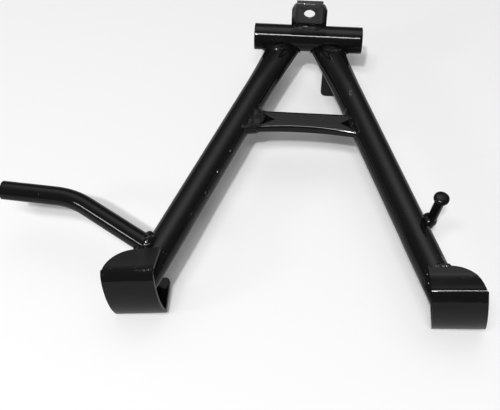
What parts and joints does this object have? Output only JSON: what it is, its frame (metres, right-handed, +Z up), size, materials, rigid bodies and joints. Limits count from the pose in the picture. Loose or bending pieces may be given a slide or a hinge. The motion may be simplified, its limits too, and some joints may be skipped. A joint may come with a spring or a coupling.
{
  "type": "moped centre stand",
  "caption": "Welded tubular A-frame centre stand: pivot tube with a holed bracket, splayed legs, cross brace, rocker feet, kick lever and spring pin.",
  "frame": {"origin": "middle of the pivot tube, on the axis of its bore", "axes": "+X along the pivot tube, towards the leg with the spring pin; -Y from the pivot tube towards the feet; +Z up from the floor that the stand lies on"},
  "size_m": [0.4069, 0.3035, 0.0913],
  "materials": {
    "black_paint": "gloss",
    "painted_weld": "gloss"
  },
  "bodies": {
    "root": {"pivot_tube": "black_paint", "left_leg": "black_paint", "right_leg": "black_paint", "cross_brace": "black_paint", "pivot_bracket": "black_paint", "left_foot": "black_paint", "right_foot": "black_paint", "kick_lever": "black_paint", "spring_pin": "black_paint", "rest_tab": "black_paint", "left_pivot_weld": "painted_weld", "right_pivot_weld": "painted_weld", "left_brace_weld": "painted_weld", "right_brace_weld": "painted_weld", "bracket_weld": "painted_weld", "left_foot_weld": "painted_weld", "right_foot_weld": "painted_weld", "lever_weld": "painted_weld", "pin_weld": "painted_weld", "tab_weld": "painted_weld", "seam_tacks": "painted_weld"}
  },
  "joints": []
}
